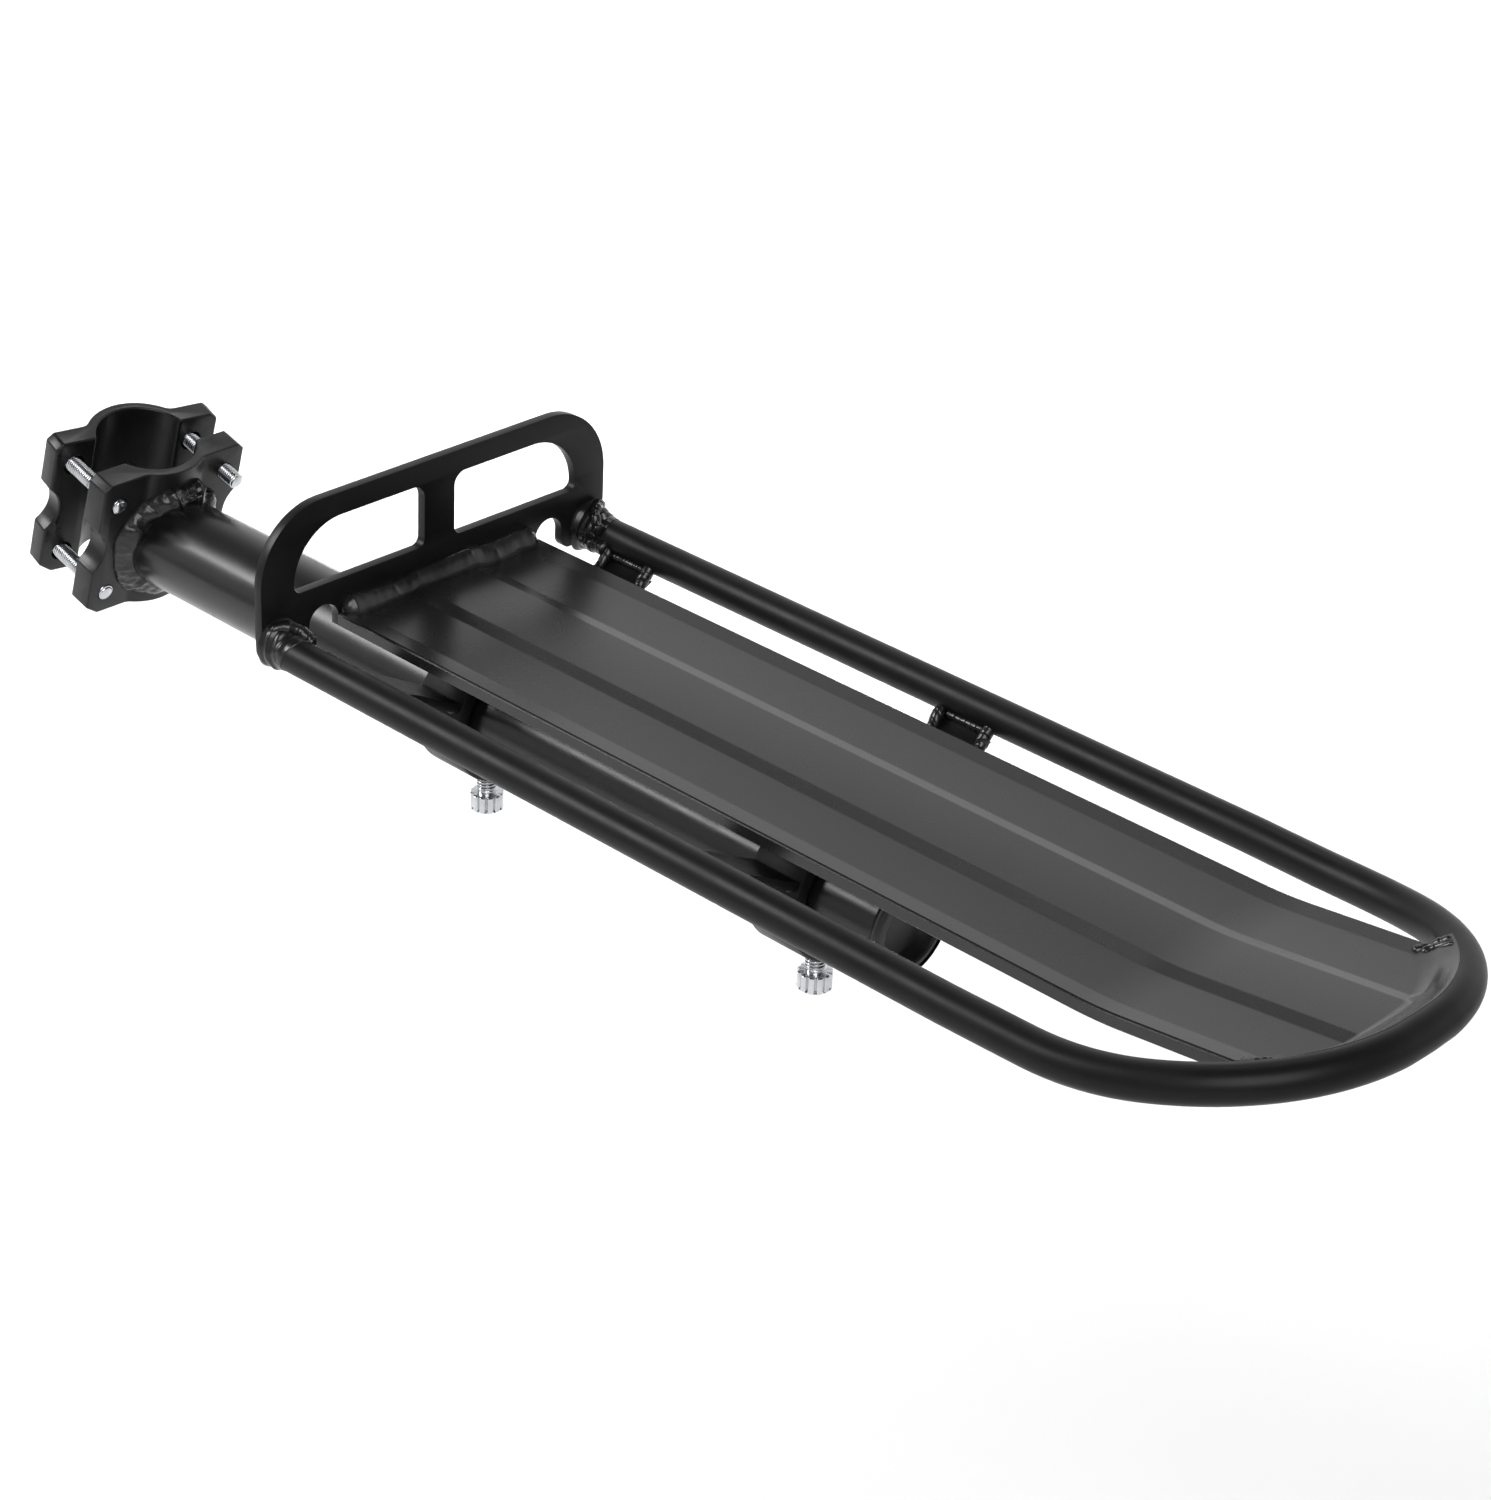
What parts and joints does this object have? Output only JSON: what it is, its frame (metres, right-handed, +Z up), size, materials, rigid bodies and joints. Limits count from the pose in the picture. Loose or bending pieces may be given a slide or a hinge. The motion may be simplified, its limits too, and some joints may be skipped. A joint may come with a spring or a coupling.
{
  "type": "bicycle rear rack",
  "caption": "Seatpost-mounted bicycle rear rack: a clamp and a cantilever beam carry a sliding deck inside a tubular hoop.",
  "frame": {"origin": "on the seatpost clamp's bore axis, 2.4 mm below the height of the beam's axis", "axes": "+X rearwards along the beam, +Y to the bicycle's right, +Z up with the deck level; the seatpost axis leans 16 degrees rearwards from +Z"},
  "size_m": [0.4963, 0.131, 0.1022],
  "materials": {
    "clamp_metal": "satin black paint",
    "beam_metal": "semi-gloss black paint",
    "rail_metal": "semi-gloss black paint",
    "bracket_metal": "satin black paint",
    "deck_metal": "satin dark grey anodised extrusion",
    "weld": "gloss black paint over a rippled bead",
    "end_cap": "matt black",
    "zinc_steel": "bright zinc plate"
  },
  "bodies": {
    "clamp_and_beam": {"rear_clamp_half": "clamp_metal", "beam_tube": "beam_metal", "beam_end_cap": "end_cap", "beam_weld": "weld"},
    "clamp_jaw": {"front_clamp_jaw": "clamp_metal"},
    "lower_left_clamp_bolt": {"clamp_bolt_lower_left": "zinc_steel"},
    "upper_left_clamp_bolt": {"clamp_bolt_upper_left": "zinc_steel"},
    "lower_right_clamp_bolt": {"clamp_bolt_lower_right": "zinc_steel"},
    "upper_right_clamp_bolt": {"clamp_bolt_upper_right": "zinc_steel"},
    "platform": {"front_bracket": "bracket_metal", "rail_hoop": "rail_metal", "deck_plate": "deck_metal", "deck_front_weld": "weld", "deck_rear_weld": "weld", "lug_weld_left": "weld", "lug_weld_right": "weld", "front_sleeve": "rail_metal", "rear_sleeve": "rail_metal", "front_ear_left": "rail_metal", "front_ear_right": "rail_metal", "rear_ear_left": "rail_metal", "rear_ear_right": "rail_metal"},
    "front_lock": {"front_lock_bolt": "zinc_steel"},
    "rear_lock": {"rear_lock_bolt": "zinc_steel"}
  },
  "joints": [
    {"name": "jaw_slide", "type": "slide", "parent": "clamp_and_beam", "child": "clamp_jaw", "axis": [-0.9613, 0, 0.2756], "range_m": [0, 0.008]},
    {"name": "lower_left_bolt_turn", "type": "hinge", "parent": "clamp_jaw", "child": "lower_left_clamp_bolt", "pos_m": [-0.01304, -0.0199, -0.00448], "axis": [0.9613, 0, -0.2756], "continuous": true},
    {"name": "upper_left_bolt_turn", "type": "hinge", "parent": "clamp_jaw", "child": "upper_left_clamp_bolt", "pos_m": [-0.00392, -0.0199, 0.02734], "axis": [0.9613, 0, -0.2756], "continuous": true},
    {"name": "lower_right_bolt_turn", "type": "hinge", "parent": "clamp_jaw", "child": "lower_right_clamp_bolt", "pos_m": [-0.00775, 0.0199, -0.006], "axis": [0.9613, 0, -0.2756], "continuous": true},
    {"name": "upper_right_bolt_turn", "type": "hinge", "parent": "clamp_jaw", "child": "upper_right_clamp_bolt", "pos_m": [0.00137, 0.0199, 0.02582], "axis": [0.9613, 0, -0.2756], "continuous": true},
    {"name": "platform_slide", "type": "slide", "parent": "clamp_and_beam", "child": "platform", "axis": [1, 0, 0], "range_m": [-0.09, 0.018]},
    {"name": "front_lock_turn", "type": "hinge", "parent": "platform", "child": "front_lock", "pos_m": [0.1621, 0, -0.0251], "axis": [0, 0, 1], "continuous": true},
    {"name": "rear_lock_turn", "type": "hinge", "parent": "platform", "child": "rear_lock", "pos_m": [0.2896, 0, -0.0251], "axis": [0, 0, 1], "continuous": true}
  ]
}
